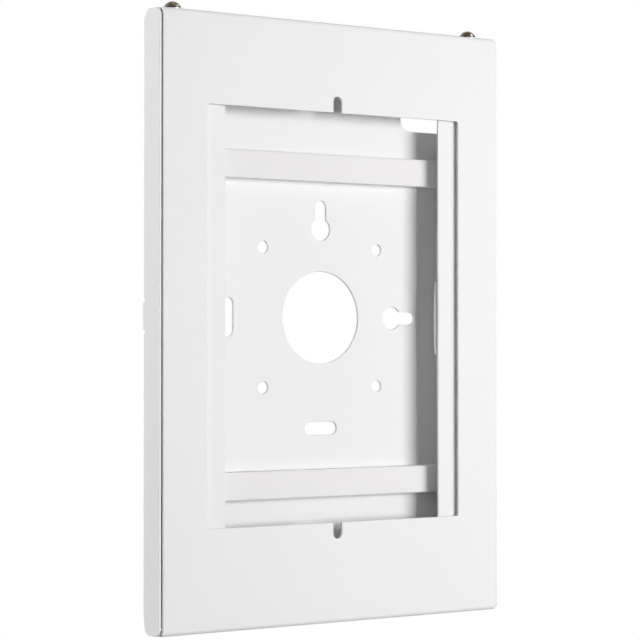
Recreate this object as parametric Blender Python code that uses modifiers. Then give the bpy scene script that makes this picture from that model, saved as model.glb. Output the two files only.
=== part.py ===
"""Lockable wall mount for a tablet.

A folded steel tray screws to the wall. A folded cover with a window nests between the tray's side
walls, hooks over two tongues at the bottom and is held by two security screws at the top. Two side
rails and two foam strips inside hold the tablet behind the window, and a ledge carries it.

Metres, X to the right, +Y into the wall and +Z up. The origin is the centre of the screw pattern,
on the wall.
"""

import bpy
import bmesh
from math import cos, pi, radians, sin, sqrt
from mathutils import Matrix, Vector

# Sheet metal
SHEET = 0.0015              # steel of the tray and the cover
RAIL_SHEET = 0.0012         # steel of the side rails
LEDGE_SHEET = 0.00145       # steel of the ledge
COVER_BEND = 0.0007         # inside radius of the cover's folds
TRAY_BEND = 0.0003          # inside radius of the tray's folds
RAIL_BEND = 0.0006          # inside radius of the rails' and the ledge's folds
SEAT_GAP = 0.0003           # clearance between pieces that seat on each other

# Cover
WINDOW_W = 0.1647
WINDOW_H = 0.2198
WINDOW_CORNER = 0.0012
NOTCH_W = 0.0055            # round-ended notches in the window's top and bottom edge
NOTCH_H = 0.00875
SIDE_MARGIN = 0.0266        # window to the cover's side edge
TOP_MARGIN = 0.0482
BOTTOM_MARGIN = 0.05375
DEPTH = 0.0175              # wall to the cover's face
FLANGE_SETBACK = 0.0010     # the cover's flanges stop this far off the wall
FLANGE_CHAMFER = 0.0030

# Tray
SIDE_GAP = 0.0006           # cover to side wall
WALL_SETBACK = 0.0010       # side wall's edge behind the cover's face
WALL_ROUND = 0.0040         # front corners of the side walls
TOP_CORNER_H = 0.0046       # height and depth of the cut in the walls' upper rear corners
TOP_CORNER_D = 0.0050
BOTTOM_CORNER_H = 0.0092    # height and rounding of the walls' lower rear corners
BOTTOM_CORNER_R = 0.0050
CORNER_RELIEF = 0.0055      # width of the plate's corner cut-outs, from the tray's outside
PLATE_EDGE_GAP = 0.0006     # plate to the cover's flanges
RELIEF_W = 0.0012           # slits beside each tab
RELIEF_D = 0.0005
EAR_H = 0.0146              # unfolded ear at mid height of each side wall
EAR_NICK = 0.0014
EAR_NICK_DEPTH = 0.0005     # nicks beside the ear, deeper than the fold
EAR_SETBACK = 0.0004
EAR_SLOT = 0.0013
TOP_TAB_W = 0.0200
TOP_TAB_SETBACK = 0.0027    # tab's end behind the cover's sheet
TAB_CHAMFER = 0.0020
HOOK_X = 0.0600
HOOK_W = 0.0140
HOOK_SETBACK = 0.0067       # tongue's front side behind the cover's face
HOOK_SLOT_CLEAR = 0.0005
HOOK_SLOT_CORNER = 0.0005

# Openings in the tray's plate
SCREW_PATTERN = 0.0750
PATTERN_HOLE = 0.0065
CABLE_HOLE = 0.0500
KEY_REACH = 0.0600          # pattern centre to the round end of each keyhole and plain slot
KEY_SLOT_W = 0.0070
KEY_HEAD = 0.0124
KEY_LENGTH = 0.0217
PLAIN_SLOT_LENGTH = 0.0210
CABLE_SLOT_LENGTH = 0.0327
CABLE_SLOT_H = 0.0130
CABLE_SLOT_DROP = 0.0056    # its lower edge below the window's top edge
CABLE_SLOT_SIDE = 0.0008    # its right end to the right rail's web

# Inside
FOAM_FRONT = 0.0070         # foam strips' face in front of the plate
FOAM_H = 0.0150
FOAM_END_GAP = 0.0030       # strips' ends to the rails' webs
FOAM_TOP_DROP = 0.02915     # upper strip's middle below the window's top edge
FOAM_BOTTOM_RISE = 0.0207   # lower strip's middle above the window's bottom edge
FOAM_EDGE = 0.0006
RAIL_COVER_GAP = 0.0009     # rails' front flanges to the cover's sheet
RAIL_SHOWS = 0.0123         # each rail's front flange inside the window
TABLET_MARGIN = 0.0055      # room for the tablet past each side of the window
RAIL_FOOT_W = 0.0130
RAIL_PAST_WINDOW = 0.0180   # rails' ends above and below the window
RAIL_STUD_INSET = 0.0330    # studs from the rails' ends
RAIL_CHAMFER = 0.0030
PAD_W = 0.0133
PAD_H = 0.0480
PAD_THICKNESS = 0.0013
PAD_OVERHANG = 0.0020       # pad past the edge of the rail's front flange
LEDGE_W = 0.0800
LEDGE_DROP = 0.0150         # where the tablet stands, below the window's bottom edge
LEDGE_SETBACK = 0.0020      # ledge's edge behind the rails' face
LEDGE_FOOT_H = 0.0155
LEDGE_STUD_INSET = 0.0150   # studs from the ledge's ends
LEDGE_PAD = 0.0015
LEDGE_PAD_INSET = 0.0020

# Fasteners
THREAD = 0.0040
THREAD_CLEAR = 0.0003       # radial clearance round each shank
STUD_HEAD = 0.0060
STUD_HEAD_H = 0.0006
STUD_LENGTH = 0.0085        # from the wall
NUT_FLATS = 0.0070
NUT_H = 0.0032
SCREW_INSET = 0.01145       # from the cover's side edge
SCREW_DEPTH = 0.0105        # behind the cover's face
SCREW_HEAD = 0.0090
SCREW_RIM = 0.0004
SCREW_DOME = 0.0029
SCREW_LENGTH = 0.0100
SOCKET_FLATS = 0.0025
SOCKET_DEPTH = 0.0016
SOCKET_PIN = 0.0009
WASHER = 0.0092
WASHER_H = 0.0008
PRESS_NUT = 0.0080
PRESS_NUT_H = 0.0035
NUT_EDGE = 0.0004

# Facets
FOLD_STEPS = 6
ROUND_STEPS = 10            # a quarter of a large arc
SMALL_STEPS = 6             # a quarter of a small arc
TURN_STEPS = 24
OVERCUT = 0.0010            # how far a cutter runs past what it cuts

# Places that follow from the sizes
PLATE_Y = -SHEET
FACE_Y = -DEPTH
WALL_Y = FACE_Y + WALL_SETBACK
COVER_X = WINDOW_W / 2 + SIDE_MARGIN
TRAY_X = COVER_X + SIDE_GAP + SHEET
TOP_Z = WINDOW_H / 2 + TOP_MARGIN
BOTTOM_Z = -(WINDOW_H / 2 + BOTTOM_MARGIN)
COVER_FOLD = COVER_BEND + SHEET
TRAY_FOLD = TRAY_BEND + SHEET
PLATE_TOP = TOP_Z - SHEET - PLATE_EDGE_GAP
PLATE_BOTTOM = BOTTOM_Z + SHEET + PLATE_EDGE_GAP
CORNER_TOP = TOP_Z - TOP_CORNER_H
CORNER_BOTTOM = BOTTOM_Z + BOTTOM_CORNER_H
TAB_TOP = TOP_Z - SHEET - SEAT_GAP
TAB_BOTTOM = BOTTOM_Z + SHEET + SEAT_GAP
SCREW_X = COVER_X - SCREW_INSET
SCREW_Y = FACE_Y + SCREW_DEPTH
HOLE_R = THREAD / 2 + THREAD_CLEAR
TOP_TAB_Y = FACE_Y + SHEET + TOP_TAB_SETBACK
HOOK_Y = FACE_Y + HOOK_SETBACK
FOOT_Y = PLATE_Y - SEAT_GAP
RAIL_Y = FACE_Y + SHEET + RAIL_COVER_GAP
RAIL_EDGE_X = WINDOW_W / 2 - RAIL_SHOWS
TABLET_X = WINDOW_W / 2 + TABLET_MARGIN
RAIL_WEB_X = TABLET_X + RAIL_SHEET
RAIL_FOOT_X = RAIL_WEB_X + RAIL_FOOT_W
RAIL_STUD_X = RAIL_WEB_X + RAIL_FOOT_W / 2
RAIL_TOP_Z = WINDOW_H / 2 + RAIL_PAST_WINDOW
RAIL_STUD_Z = RAIL_TOP_Z - RAIL_STUD_INSET
PAD_X = RAIL_EDGE_X - PAD_OVERHANG + PAD_W / 2
CABLE_SLOT_X = TABLET_X - CABLE_SLOT_SIDE - CABLE_SLOT_LENGTH
CABLE_SLOT_Z = WINDOW_H / 2 - CABLE_SLOT_DROP
FOAM_X = TABLET_X - FOAM_END_GAP
FOAM_TOP_Z = WINDOW_H / 2 - FOAM_TOP_DROP
FOAM_BOTTOM_Z = FOAM_BOTTOM_RISE - WINDOW_H / 2
LEDGE_Y = RAIL_Y + LEDGE_SETBACK
LEDGE_TOP_Z = -WINDOW_H / 2 - LEDGE_DROP
LEDGE_Z = LEDGE_TOP_Z - LEDGE_PAD - SEAT_GAP
LEDGE_FOOT_Z = LEDGE_Z - LEDGE_FOOT_H
LEDGE_STUD_X = LEDGE_W / 2 - LEDGE_STUD_INSET
LEDGE_STUD_Z = (LEDGE_FOOT_Z + LEDGE_Z - LEDGE_SHEET) / 2


def clear_scene():
    for obj in list(bpy.data.objects):
        bpy.data.objects.remove(obj)


def new_collection(name):
    found = bpy.data.collections.get(name) or bpy.data.collections.new(name)
    if found.name not in bpy.context.scene.collection.children:
        bpy.context.scene.collection.children.link(found)
    return found


def new_material(name, colour, roughness, metallic):
    material = bpy.data.materials.new(name)
    material.use_nodes = True
    shader = material.node_tree.nodes["Principled BSDF"]
    shader.inputs["Base Color"].default_value = (*colour, 1)
    shader.inputs["Roughness"].default_value = roughness
    shader.inputs["Metallic"].default_value = metallic
    material.diffuse_color = (*colour, 1)
    return material


def add_part(name, mesh, material):
    obj = bpy.data.objects.new(name, mesh)
    PARTS.objects.link(obj)
    mesh.materials.clear()
    mesh.materials.append(material)
    return obj


def arc(centre, radius, start, end, steps):
    """Points of an arc from one angle to another, in degrees, in an outline's own two axes."""
    angles = [radians(start + (end - start) * i / steps) for i in range(steps + 1)]
    return [(centre[0] + radius * cos(a), centre[1] + radius * sin(a)) for a in angles]


def circle(centre, radius, steps=TURN_STEPS):
    return arc(centre, radius, 0, 360, steps)[:-1]


def rounded_rectangle(left, bottom, width, height, radius, steps):
    """Outline with round corners; a radius of half the height gives a slot."""
    right, top = left + width, bottom + height
    return (arc((right - radius, bottom + radius), radius, -90, 0, steps)
            + arc((right - radius, top - radius), radius, 0, 90, steps)
            + arc((left + radius, top - radius), radius, 90, 180, steps)
            + arc((left + radius, bottom + radius), radius, 180, 270, steps))


def keyhole(turn):
    """Keyhole on the pattern's vertical axis, narrow end outwards, turned about the pattern's centre."""
    head, slot = KEY_HEAD / 2, KEY_SLOT_W / 2
    narrow_z = KEY_REACH
    head_z = narrow_z + slot - KEY_LENGTH + head
    meet = round_angle(slot, head)
    points = (arc((0, narrow_z), slot, 0, 180, SMALL_STEPS * 2)
              + arc((0, head_z), head, 180 - meet, 360 + meet, ROUND_STEPS * 2))
    return [(x * cos(turn) - z * sin(turn), x * sin(turn) + z * cos(turn)) for x, z in points]


def round_angle(half_width, radius):
    """Angle above the horizontal, in degrees, at which a circle is as wide as a slot."""
    height = sqrt(radius ** 2 - half_width ** 2)
    return Vector((half_width, height)).angle(Vector((1, 0))) * 180 / pi


def prism(name, outlines, low, high, along, collection):
    """Solid between two places along Y or Z, from closed outlines; inner outlines are holes.

    Along Y an outline's axes are X and Z, and along Z they are X and Y.
    """
    curve = bpy.data.curves.new(name, "CURVE")
    curve.dimensions = "2D"
    curve.fill_mode = "BOTH"
    curve.extrude = (high - low) / 2
    for outline in outlines:
        spline = curve.splines.new("POLY")
        spline.points.add(len(outline) - 1)
        for point, (u, v) in zip(spline.points, outline):
            point.co = (u, v, 0, 1)
        spline.use_cyclic_u = True
    flat = bpy.data.objects.new(name, curve)
    collection.objects.link(flat)
    middle = (low + high) / 2
    if along == "Y":
        place = Matrix.Translation((0, middle, 0)) @ Matrix.Rotation(pi / 2, 4, "X")
    else:
        place = Matrix.Translation((0, 0, middle))
    bpy.context.view_layer.update()
    mesh = bpy.data.meshes.new_from_object(flat.evaluated_get(bpy.context.evaluated_depsgraph_get()))
    bpy.data.objects.remove(flat)
    bpy.data.curves.remove(curve)
    solid = bmesh.new()
    solid.from_mesh(mesh)
    bmesh.ops.remove_doubles(solid, verts=solid.verts, dist=1e-7)
    bmesh.ops.transform(solid, matrix=place, verts=solid.verts)
    bmesh.ops.recalc_face_normals(solid, faces=solid.faces)
    solid.to_mesh(mesh)
    solid.free()
    mesh.name = name
    return mesh


def cut(obj, name, outlines, low, high, along="Y"):
    """Cut a prism out of a part."""
    mesh = prism(name, outlines, low, high, along, CUTTERS)
    cutter = bpy.data.objects.new(name, mesh)
    CUTTERS.objects.link(cutter)
    cutter.hide_render = True
    cutter.display_type = "WIRE"
    boolean = obj.modifiers.new(name, "BOOLEAN")
    boolean.operation = "DIFFERENCE"
    boolean.solver = "EXACT"
    boolean.object = cutter


def flat_face(surface, points, y):
    """One flat face of sheet from its outline in X and Z; returns its corners by their place."""
    corners = {(x, z): surface.verts.new((x, y, z)) for x, z in points}
    surface.faces.new(corners.values())
    return corners


def edge_between(surface, start, end):
    return surface.edges.get((start, end)) or surface.edges.new((start, end))


def fold(surface, edge, pivot, axis, angle):
    """Bend the sheet round a pivot from one of its edges; returns the edge where the bend ends."""
    swept = bmesh.ops.spin(surface, geom=[*edge.verts, edge], cent=pivot, axis=axis,
                           angle=radians(angle), steps=FOLD_STEPS)
    return next(part for part in swept["geom_last"] if isinstance(part, bmesh.types.BMEdge))


def flap(surface, edge, towards, chamfer=0.0):
    """Run the sheet on flat from an edge by a vector, with its far corners cut off."""
    first, last = edge.verts
    along = (last.co - first.co).normalized() * chamfer
    back = towards.normalized() * chamfer
    if chamfer:
        places = [last.co + towards - back, last.co + towards - along,
                  first.co + towards + along, first.co + towards - back]
    else:
        places = [last.co + towards, first.co + towards]
    added = [surface.verts.new(place) for place in places]
    surface.faces.new([first, last, *added])
    ends = added if not chamfer else added[1:3]
    return edge_between(surface, ends[0], ends[1])


def sheet_part(name, surface, thickness, face_normal, material):
    """Turn an open surface, which is the outer side of the sheet, into sheet metal."""
    bmesh.ops.recalc_face_normals(surface, faces=surface.faces)
    surface.normal_update()
    largest = max(surface.faces, key=lambda face: face.calc_area())
    if largest.normal.dot(face_normal) < 0:
        bmesh.ops.reverse_faces(surface, faces=surface.faces)
    mesh = bpy.data.meshes.new(name)
    surface.to_mesh(mesh)
    surface.free()
    part = add_part(name, mesh, material)
    solidify = part.modifiers.new("sheet", "SOLIDIFY")
    solidify.thickness = thickness
    solidify.offset = -1
    solidify.use_even_offset = True
    return part


def turned(name, profile, place, material):
    """Turned piece from a profile of (radius, height) points, which runs down its outer side."""
    mesh = bpy.data.meshes.new(name)
    closed = profile[0][0] > 0
    count = len(profile)
    edges = [(i, (i + 1) % count) for i in range(count if closed else count - 1)]
    mesh.from_pydata([(radius, 0, height) for radius, height in profile], edges, [])
    part = add_part(name, mesh, material)
    part.matrix_world = place
    screw = part.modifiers.new("turned", "SCREW")
    screw.steps = screw.render_steps = TURN_STEPS
    screw.use_merge_vertices = True
    screw.merge_threshold = 1e-6
    screw.use_smooth_shade = False
    return part


def block(name, low, high, edge, material):
    """Block of foam or rubber between two corners, with its edges rounded."""
    size = Vector(high) - Vector(low)
    bpy.ops.mesh.primitive_cube_add(size=1, location=(Vector(high) + Vector(low)) / 2)
    part = bpy.context.object
    part.name = part.data.name = name
    part.data.transform(Matrix.Diagonal((*size, 1)))
    part.data.materials.append(material)
    for home in list(part.users_collection):
        home.objects.unlink(part)
    PARTS.objects.link(part)
    bevel = part.modifiers.new("edges", "BEVEL")
    bevel.width = edge
    bevel.segments = 2
    return part


def plate_outline():
    """Right half of the tray's plate, from the bottom centre up to the top centre."""
    fold_x = TRAY_X - TRAY_FOLD
    relief_x = TRAY_X - CORNER_RELIEF
    hook_left, hook_right = HOOK_X - HOOK_W / 2, HOOK_X + HOOK_W / 2
    hook_root = TAB_BOTTOM + TRAY_FOLD
    tab_left, tab_right = SCREW_X - TOP_TAB_W / 2, SCREW_X + TOP_TAB_W / 2
    tab_root = TAB_TOP - TRAY_FOLD
    ear = EAR_H / 2 + EAR_NICK
    return [
        (hook_left - RELIEF_W, PLATE_BOTTOM), (hook_left - RELIEF_W, hook_root + RELIEF_D),
        (hook_left, hook_root + RELIEF_D), (hook_left, hook_root),
        (hook_right, hook_root), (hook_right, hook_root + RELIEF_D),
        (hook_right + RELIEF_W, hook_root + RELIEF_D), (hook_right + RELIEF_W, PLATE_BOTTOM),
        (relief_x, PLATE_BOTTOM), (relief_x, CORNER_BOTTOM), (fold_x, CORNER_BOTTOM),
        (fold_x, -ear), (fold_x - EAR_SLOT, -ear), (fold_x - EAR_SLOT, ear), (fold_x, ear),
        (fold_x, CORNER_TOP), (tab_right, CORNER_TOP), (tab_right, tab_root), (tab_left, tab_root),
        (tab_left, tab_root - RELIEF_D), (tab_left - RELIEF_W, tab_root - RELIEF_D),
        (tab_left - RELIEF_W, PLATE_TOP)]


def wall_outline():
    """Side wall's free edge in Y and Z, from the top of its fold round to the bottom of its fold."""
    rear_y = -TRAY_FOLD
    corner, rear = WALL_ROUND, BOTTOM_CORNER_R
    return ([(rear_y, CORNER_TOP + RELIEF_D), (-TOP_CORNER_D, TOP_Z)]
            + arc((WALL_Y + corner, TOP_Z - corner), corner, 90, 180, SMALL_STEPS)
            + arc((WALL_Y + corner, BOTTOM_Z + corner), corner, 180, 270, SMALL_STEPS)
            + arc((rear_y - rear, BOTTOM_Z + rear), rear, 270, 360, SMALL_STEPS))


def fold_wall(surface, corners, side):
    """Fold one side wall forward. Its fold stops at mid height, where an unfolded ear stands."""
    fold_x = side * (TRAY_X - TRAY_FOLD)
    ear = EAR_H / 2 + EAR_NICK
    pivot = (fold_x, -TRAY_FOLD, 0)
    ends = []
    for low, high in ((CORNER_BOTTOM, -ear), (ear, CORNER_TOP)):
        edge = edge_between(surface, corners[(fold_x, low)], corners[(fold_x, high)])
        bend_end = fold(surface, edge, pivot, (0, 0, -side), 90)
        ends.append(sorted(bend_end.verts, key=lambda vert: vert.co.z))
    (low_start, low_end), (high_start, high_end) = ends
    x = side * TRAY_X
    nick_y = -TRAY_FOLD - EAR_NICK_DEPTH
    ear_points = [(nick_y, -ear), (nick_y, -EAR_H / 2), (-EAR_SETBACK, -EAR_H / 2),
                  (-EAR_SETBACK, EAR_H / 2), (nick_y, EAR_H / 2), (nick_y, ear)]
    ear_verts = [surface.verts.new((x, y, z)) for y, z in ear_points]
    free_verts = [surface.verts.new((x, y, z)) for y, z in wall_outline()]
    surface.faces.new([low_start, low_end, *ear_verts, high_start, high_end, *free_verts])


def rear_tray(material):
    """Tray: plate, side walls, two screw tabs at the top and two hook tongues at the bottom."""
    surface = bmesh.new()
    right = plate_outline()
    left = [(-x, z) for x, z in reversed(right)]
    corners = flat_face(surface, right + left, 0)
    for side in (1, -1):
        fold_wall(surface, corners, side)
        edges = [side * (SCREW_X - TOP_TAB_W / 2), side * (SCREW_X + TOP_TAB_W / 2)]
        root = TAB_TOP - TRAY_FOLD
        edge = edge_between(surface, corners[(edges[0], root)], corners[(edges[1], root)])
        edge = fold(surface, edge, (0, -TRAY_FOLD, root), (1, 0, 0), 90)
        flap(surface, edge, Vector((0, TOP_TAB_Y + TRAY_FOLD, 0)), TAB_CHAMFER)
        edges = [side * (HOOK_X - HOOK_W / 2), side * (HOOK_X + HOOK_W / 2)]
        root = TAB_BOTTOM + TRAY_FOLD
        edge = edge_between(surface, corners[(edges[0], root)], corners[(edges[1], root)])
        edge = fold(surface, edge, (0, -TRAY_FOLD, root), (-1, 0, 0), 90)
        edge = flap(surface, edge, Vector((0, HOOK_Y + 2 * TRAY_FOLD, 0)))
        edge = fold(surface, edge, (0, HOOK_Y + TRAY_FOLD, TAB_BOTTOM - TRAY_BEND), (1, 0, 0), 90)
        flap(surface, edge, Vector((0, 0, BOTTOM_Z + SEAT_GAP - TAB_BOTTOM + TRAY_BEND)))
    tray = sheet_part("rear_tray", surface, SHEET, Vector((0, 1, 0)), material)

    half = SCREW_PATTERN / 2
    pattern = [circle((x, z), PATTERN_HOLE / 2, SMALL_STEPS * 4)
               for x in (-half, half) for z in (-half, half)]
    round_end = KEY_SLOT_W / 2
    slot_start, slot_side = -PLAIN_SLOT_LENGTH / 2, -KEY_REACH - round_end
    slots = [
        rounded_rectangle(slot_start, slot_side, PLAIN_SLOT_LENGTH, KEY_SLOT_W, round_end, SMALL_STEPS),
        rounded_rectangle(slot_side, slot_start, KEY_SLOT_W, PLAIN_SLOT_LENGTH, round_end, SMALL_STEPS),
        rounded_rectangle(CABLE_SLOT_X, CABLE_SLOT_Z, CABLE_SLOT_LENGTH, CABLE_SLOT_H,
                          CABLE_SLOT_H / 2, ROUND_STEPS)]
    openings = pattern + slots + [circle((0, 0), CABLE_HOLE / 2, ROUND_STEPS * 6),
                                  keyhole(0), keyhole(-pi / 2)]
    studs = stud_places()
    openings += [circle(place, HOLE_R) for place in studs]
    cut(tray, "tray_openings", openings, PLATE_Y - OVERCUT, OVERCUT)
    seats = [circle(place, STUD_HEAD / 2 + SEAT_GAP) for place in studs]
    cut(tray, "stud_seats", seats, -STUD_HEAD_H - SEAT_GAP, OVERCUT)
    holes = [circle((x, SCREW_Y), HOLE_R) for x in (-SCREW_X, SCREW_X)]
    cut(tray, "tab_holes", holes, TAB_TOP - SHEET - OVERCUT, TAB_TOP + OVERCUT, "Z")
    return tray


def front_cover(material):
    """Cover: face with the window, folded back along its top and bottom."""
    surface = bmesh.new()
    fold_top, fold_bottom = TOP_Z - COVER_FOLD, BOTTOM_Z + COVER_FOLD
    corners = flat_face(surface, [(COVER_X, fold_bottom), (COVER_X, fold_top),
                                  (-COVER_X, fold_top), (-COVER_X, fold_bottom)], FACE_Y)
    flange = Vector((0, DEPTH - COVER_FOLD - FLANGE_SETBACK, 0))
    for z, turn in ((fold_top, -1), (fold_bottom, 1)):
        edge = edge_between(surface, corners[(-COVER_X, z)], corners[(COVER_X, z)])
        edge = fold(surface, edge, (0, FACE_Y + COVER_FOLD, z), (turn, 0, 0), 90)
        flap(surface, edge, flange, FLANGE_CHAMFER)
    cover = sheet_part("front_cover", surface, SHEET, Vector((0, -1, 0)), material)

    front, back = FACE_Y - OVERCUT, FACE_Y + SHEET + OVERCUT
    window = rounded_rectangle(-WINDOW_W / 2, -WINDOW_H / 2, WINDOW_W, WINDOW_H,
                               WINDOW_CORNER, SMALL_STEPS)
    cut(cover, "window", [window], front, back)
    notch_end = NOTCH_W / 2
    notches = [rounded_rectangle(-notch_end, low, NOTCH_W, NOTCH_H + NOTCH_W, notch_end, SMALL_STEPS)
               for low in (WINDOW_H / 2 - NOTCH_W, -WINDOW_H / 2 - NOTCH_H)]
    cut(cover, "window_notches", notches, front, back)
    holes = [circle((x, SCREW_Y), HOLE_R) for x in (-SCREW_X, SCREW_X)]
    cut(cover, "cover_screw_holes", holes, TOP_Z - SHEET - OVERCUT, TOP_Z + OVERCUT, "Z")
    slot_w = HOOK_W + 2 * HOOK_SLOT_CLEAR
    slot_front = HOOK_Y - HOOK_SLOT_CLEAR
    slot_depth = TRAY_FOLD + 2 * HOOK_SLOT_CLEAR
    slots = [rounded_rectangle(x - slot_w / 2, slot_front, slot_w, slot_depth,
                               HOOK_SLOT_CORNER, 1) for x in (-HOOK_X, HOOK_X)]
    cut(cover, "hook_slots", slots, BOTTOM_Z - OVERCUT, BOTTOM_Z + SHEET + OVERCUT, "Z")
    return cover


def side_rail(name, side, material):
    """Z-section rail: foot on the plate, web beside the tablet, front flange in front of it."""
    surface = bmesh.new()
    foot_y = FOOT_Y - RAIL_SHEET
    web_x = side * RAIL_WEB_X
    inner, outer = RAIL_BEND, RAIL_BEND + RAIL_SHEET
    half = RAIL_TOP_Z
    bend_x = web_x + side * inner
    corners = flat_face(surface, [(bend_x, -half), (bend_x, half),
                                  (side * RAIL_FOOT_X, half), (side * RAIL_FOOT_X, -half)], foot_y)
    edge = edge_between(surface, corners[(bend_x, -half)], corners[(bend_x, half)])
    edge = fold(surface, edge, (bend_x, foot_y - inner, 0), (0, 0, side), 90)
    web = (foot_y - inner) - (RAIL_Y + outer)
    edge = flap(surface, edge, Vector((0, -web, 0)))
    flange_x = web_x - side * outer
    edge = fold(surface, edge, (flange_x, RAIL_Y + outer, 0), (0, 0, -side), 90)
    flap(surface, edge, Vector((side * RAIL_EDGE_X - flange_x, 0, 0)), RAIL_CHAMFER)
    rail = sheet_part(name, surface, RAIL_SHEET, Vector((side, -1, 0)), material)
    holes = [circle((side * RAIL_STUD_X, z), HOLE_R) for z in (-RAIL_STUD_Z, RAIL_STUD_Z)]
    cut(rail, name + "_holes", holes, foot_y - OVERCUT, FOOT_Y + OVERCUT)
    return rail


def tablet_ledge(material):
    """Folded ledge that the tablet stands on."""
    surface = bmesh.new()
    foot_y = FOOT_Y - LEDGE_SHEET
    half = LEDGE_W / 2
    under_z = LEDGE_Z - LEDGE_SHEET
    bend_z = under_z - RAIL_BEND
    corners = flat_face(surface, [(-half, LEDGE_FOOT_Z), (half, LEDGE_FOOT_Z),
                                  (half, bend_z), (-half, bend_z)], foot_y)
    edge = edge_between(surface, corners[(-half, bend_z)], corners[(half, bend_z)])
    edge = fold(surface, edge, (0, foot_y - RAIL_BEND, bend_z), (1, 0, 0), 90)
    shelf = Vector((0, LEDGE_Y - foot_y + RAIL_BEND, 0))
    flap(surface, edge, shelf, TAB_CHAMFER)
    ledge = sheet_part("tablet_ledge", surface, LEDGE_SHEET, Vector((0, -1, -1)), material)
    holes = [circle((x, LEDGE_STUD_Z), HOLE_R) for x in (-LEDGE_STUD_X, LEDGE_STUD_X)]
    cut(ledge, "ledge_holes", holes, foot_y - OVERCUT, FOOT_Y + OVERCUT)
    return ledge


def stud_places():
    """Places of the studs on the plate, in X and Z: four for the rails and two for the ledge."""
    rails = [(x, z) for x in (-RAIL_STUD_X, RAIL_STUD_X) for z in (-RAIL_STUD_Z, RAIL_STUD_Z)]
    return rails + [(-LEDGE_STUD_X, LEDGE_STUD_Z), (LEDGE_STUD_X, LEDGE_STUD_Z)]


def stud_and_nut(label, place, seat_y, material):
    """Stud pressed flush into the plate's rear, and the nut on it, which clamps a foot."""
    x, z = place
    shank = THREAD / 2
    profile = [(0, 0), (STUD_HEAD / 2, 0), (STUD_HEAD / 2, -STUD_HEAD_H), (shank, -STUD_HEAD_H),
               (shank, NUT_EDGE - STUD_LENGTH), (shank - NUT_EDGE, -STUD_LENGTH), (0, -STUD_LENGTH)]
    towards_wall = Matrix.Translation((x, 0, z)) @ Matrix.Rotation(-pi / 2, 4, "X")
    turned(label + "_stud", profile, towards_wall, material)
    corner = NUT_FLATS / sqrt(3)
    outlines = [circle(place, corner, 6), circle(place, HOLE_R)]
    top_y = seat_y - SEAT_GAP
    mesh = prism(label + "_nut", outlines, top_y - NUT_H, top_y, "Y", PARTS)
    add_part(label + "_nut", mesh, material)


def cover_fasteners(label, x, steel, zinc):
    """Security screw, its washer above the cover, and the press nut under the tray's tab."""
    washer_z = TOP_Z + SEAT_GAP
    head_z = washer_z + WASHER_H + SEAT_GAP
    head, shank = SCREW_HEAD / 2, THREAD / 2
    dome = [(head * sin(t), SCREW_RIM + SCREW_DOME * cos(t))
            for t in (pi / 2 * i / SMALL_STEPS for i in range(SMALL_STEPS + 1))]
    profile = [(0, SCREW_RIM + SCREW_DOME), *dome[1:], (head, 0), (shank, 0),
               (shank, NUT_EDGE - SCREW_LENGTH), (shank - NUT_EDGE, -SCREW_LENGTH),
               (0, -SCREW_LENGTH)]
    screw = turned("cover_screw_" + label, profile, Matrix.Translation((x, SCREW_Y, head_z)), steel)
    top = head_z + SCREW_RIM + SCREW_DOME
    socket = [circle((x, SCREW_Y), SOCKET_FLATS / sqrt(3), 6),
              circle((x, SCREW_Y), SOCKET_PIN / 2, SMALL_STEPS * 2)]
    cut(screw, "socket_" + label, socket, top - SOCKET_DEPTH, top + OVERCUT, "Z")

    ring = [(HOLE_R, WASHER_H), (WASHER / 2, WASHER_H), (WASHER / 2, 0), (HOLE_R, 0)]
    turned("screw_washer_" + label, ring, Matrix.Translation((x, SCREW_Y, washer_z)), zinc)

    nut_z = TAB_TOP - SHEET - SEAT_GAP - PRESS_NUT_H
    outer = PRESS_NUT / 2
    body = [(HOLE_R, PRESS_NUT_H), (outer, PRESS_NUT_H), (outer, NUT_EDGE), (outer - NUT_EDGE, 0),
            (HOLE_R, 0)]
    turned("press_nut_" + label, body, Matrix.Translation((x, SCREW_Y, nut_z)), zinc)


def soft_pieces(foam, rubber):
    """Foam strips behind the tablet, the pad behind the right rail's flange and the ledge's pad."""
    front = PLATE_Y - FOAM_FRONT
    for label, z in (("top", FOAM_TOP_Z), ("bottom", FOAM_BOTTOM_Z)):
        block("foam_strip_" + label, (-FOAM_X, front, z - FOAM_H / 2),
              (FOAM_X, FOOT_Y, z + FOAM_H / 2), FOAM_EDGE, foam)
    pad_front = RAIL_Y + RAIL_SHEET + SEAT_GAP
    steps = TURN_STEPS * 2
    oval = [(PAD_X + PAD_W / 2 * cos(t), PAD_H / 2 * sin(t))
            for t in (2 * pi * i / steps for i in range(steps))]
    mesh = prism("rail_pad", [oval], pad_front, pad_front + PAD_THICKNESS, "Y", PARTS)
    add_part("rail_pad", mesh, foam)
    inset = LEDGE_PAD_INSET
    block("ledge_pad", (inset - LEDGE_W / 2, LEDGE_Y + inset, LEDGE_TOP_Z - LEDGE_PAD),
          (LEDGE_W / 2 - inset, FOOT_Y - inset, LEDGE_TOP_Z), FOAM_EDGE, rubber)


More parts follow.
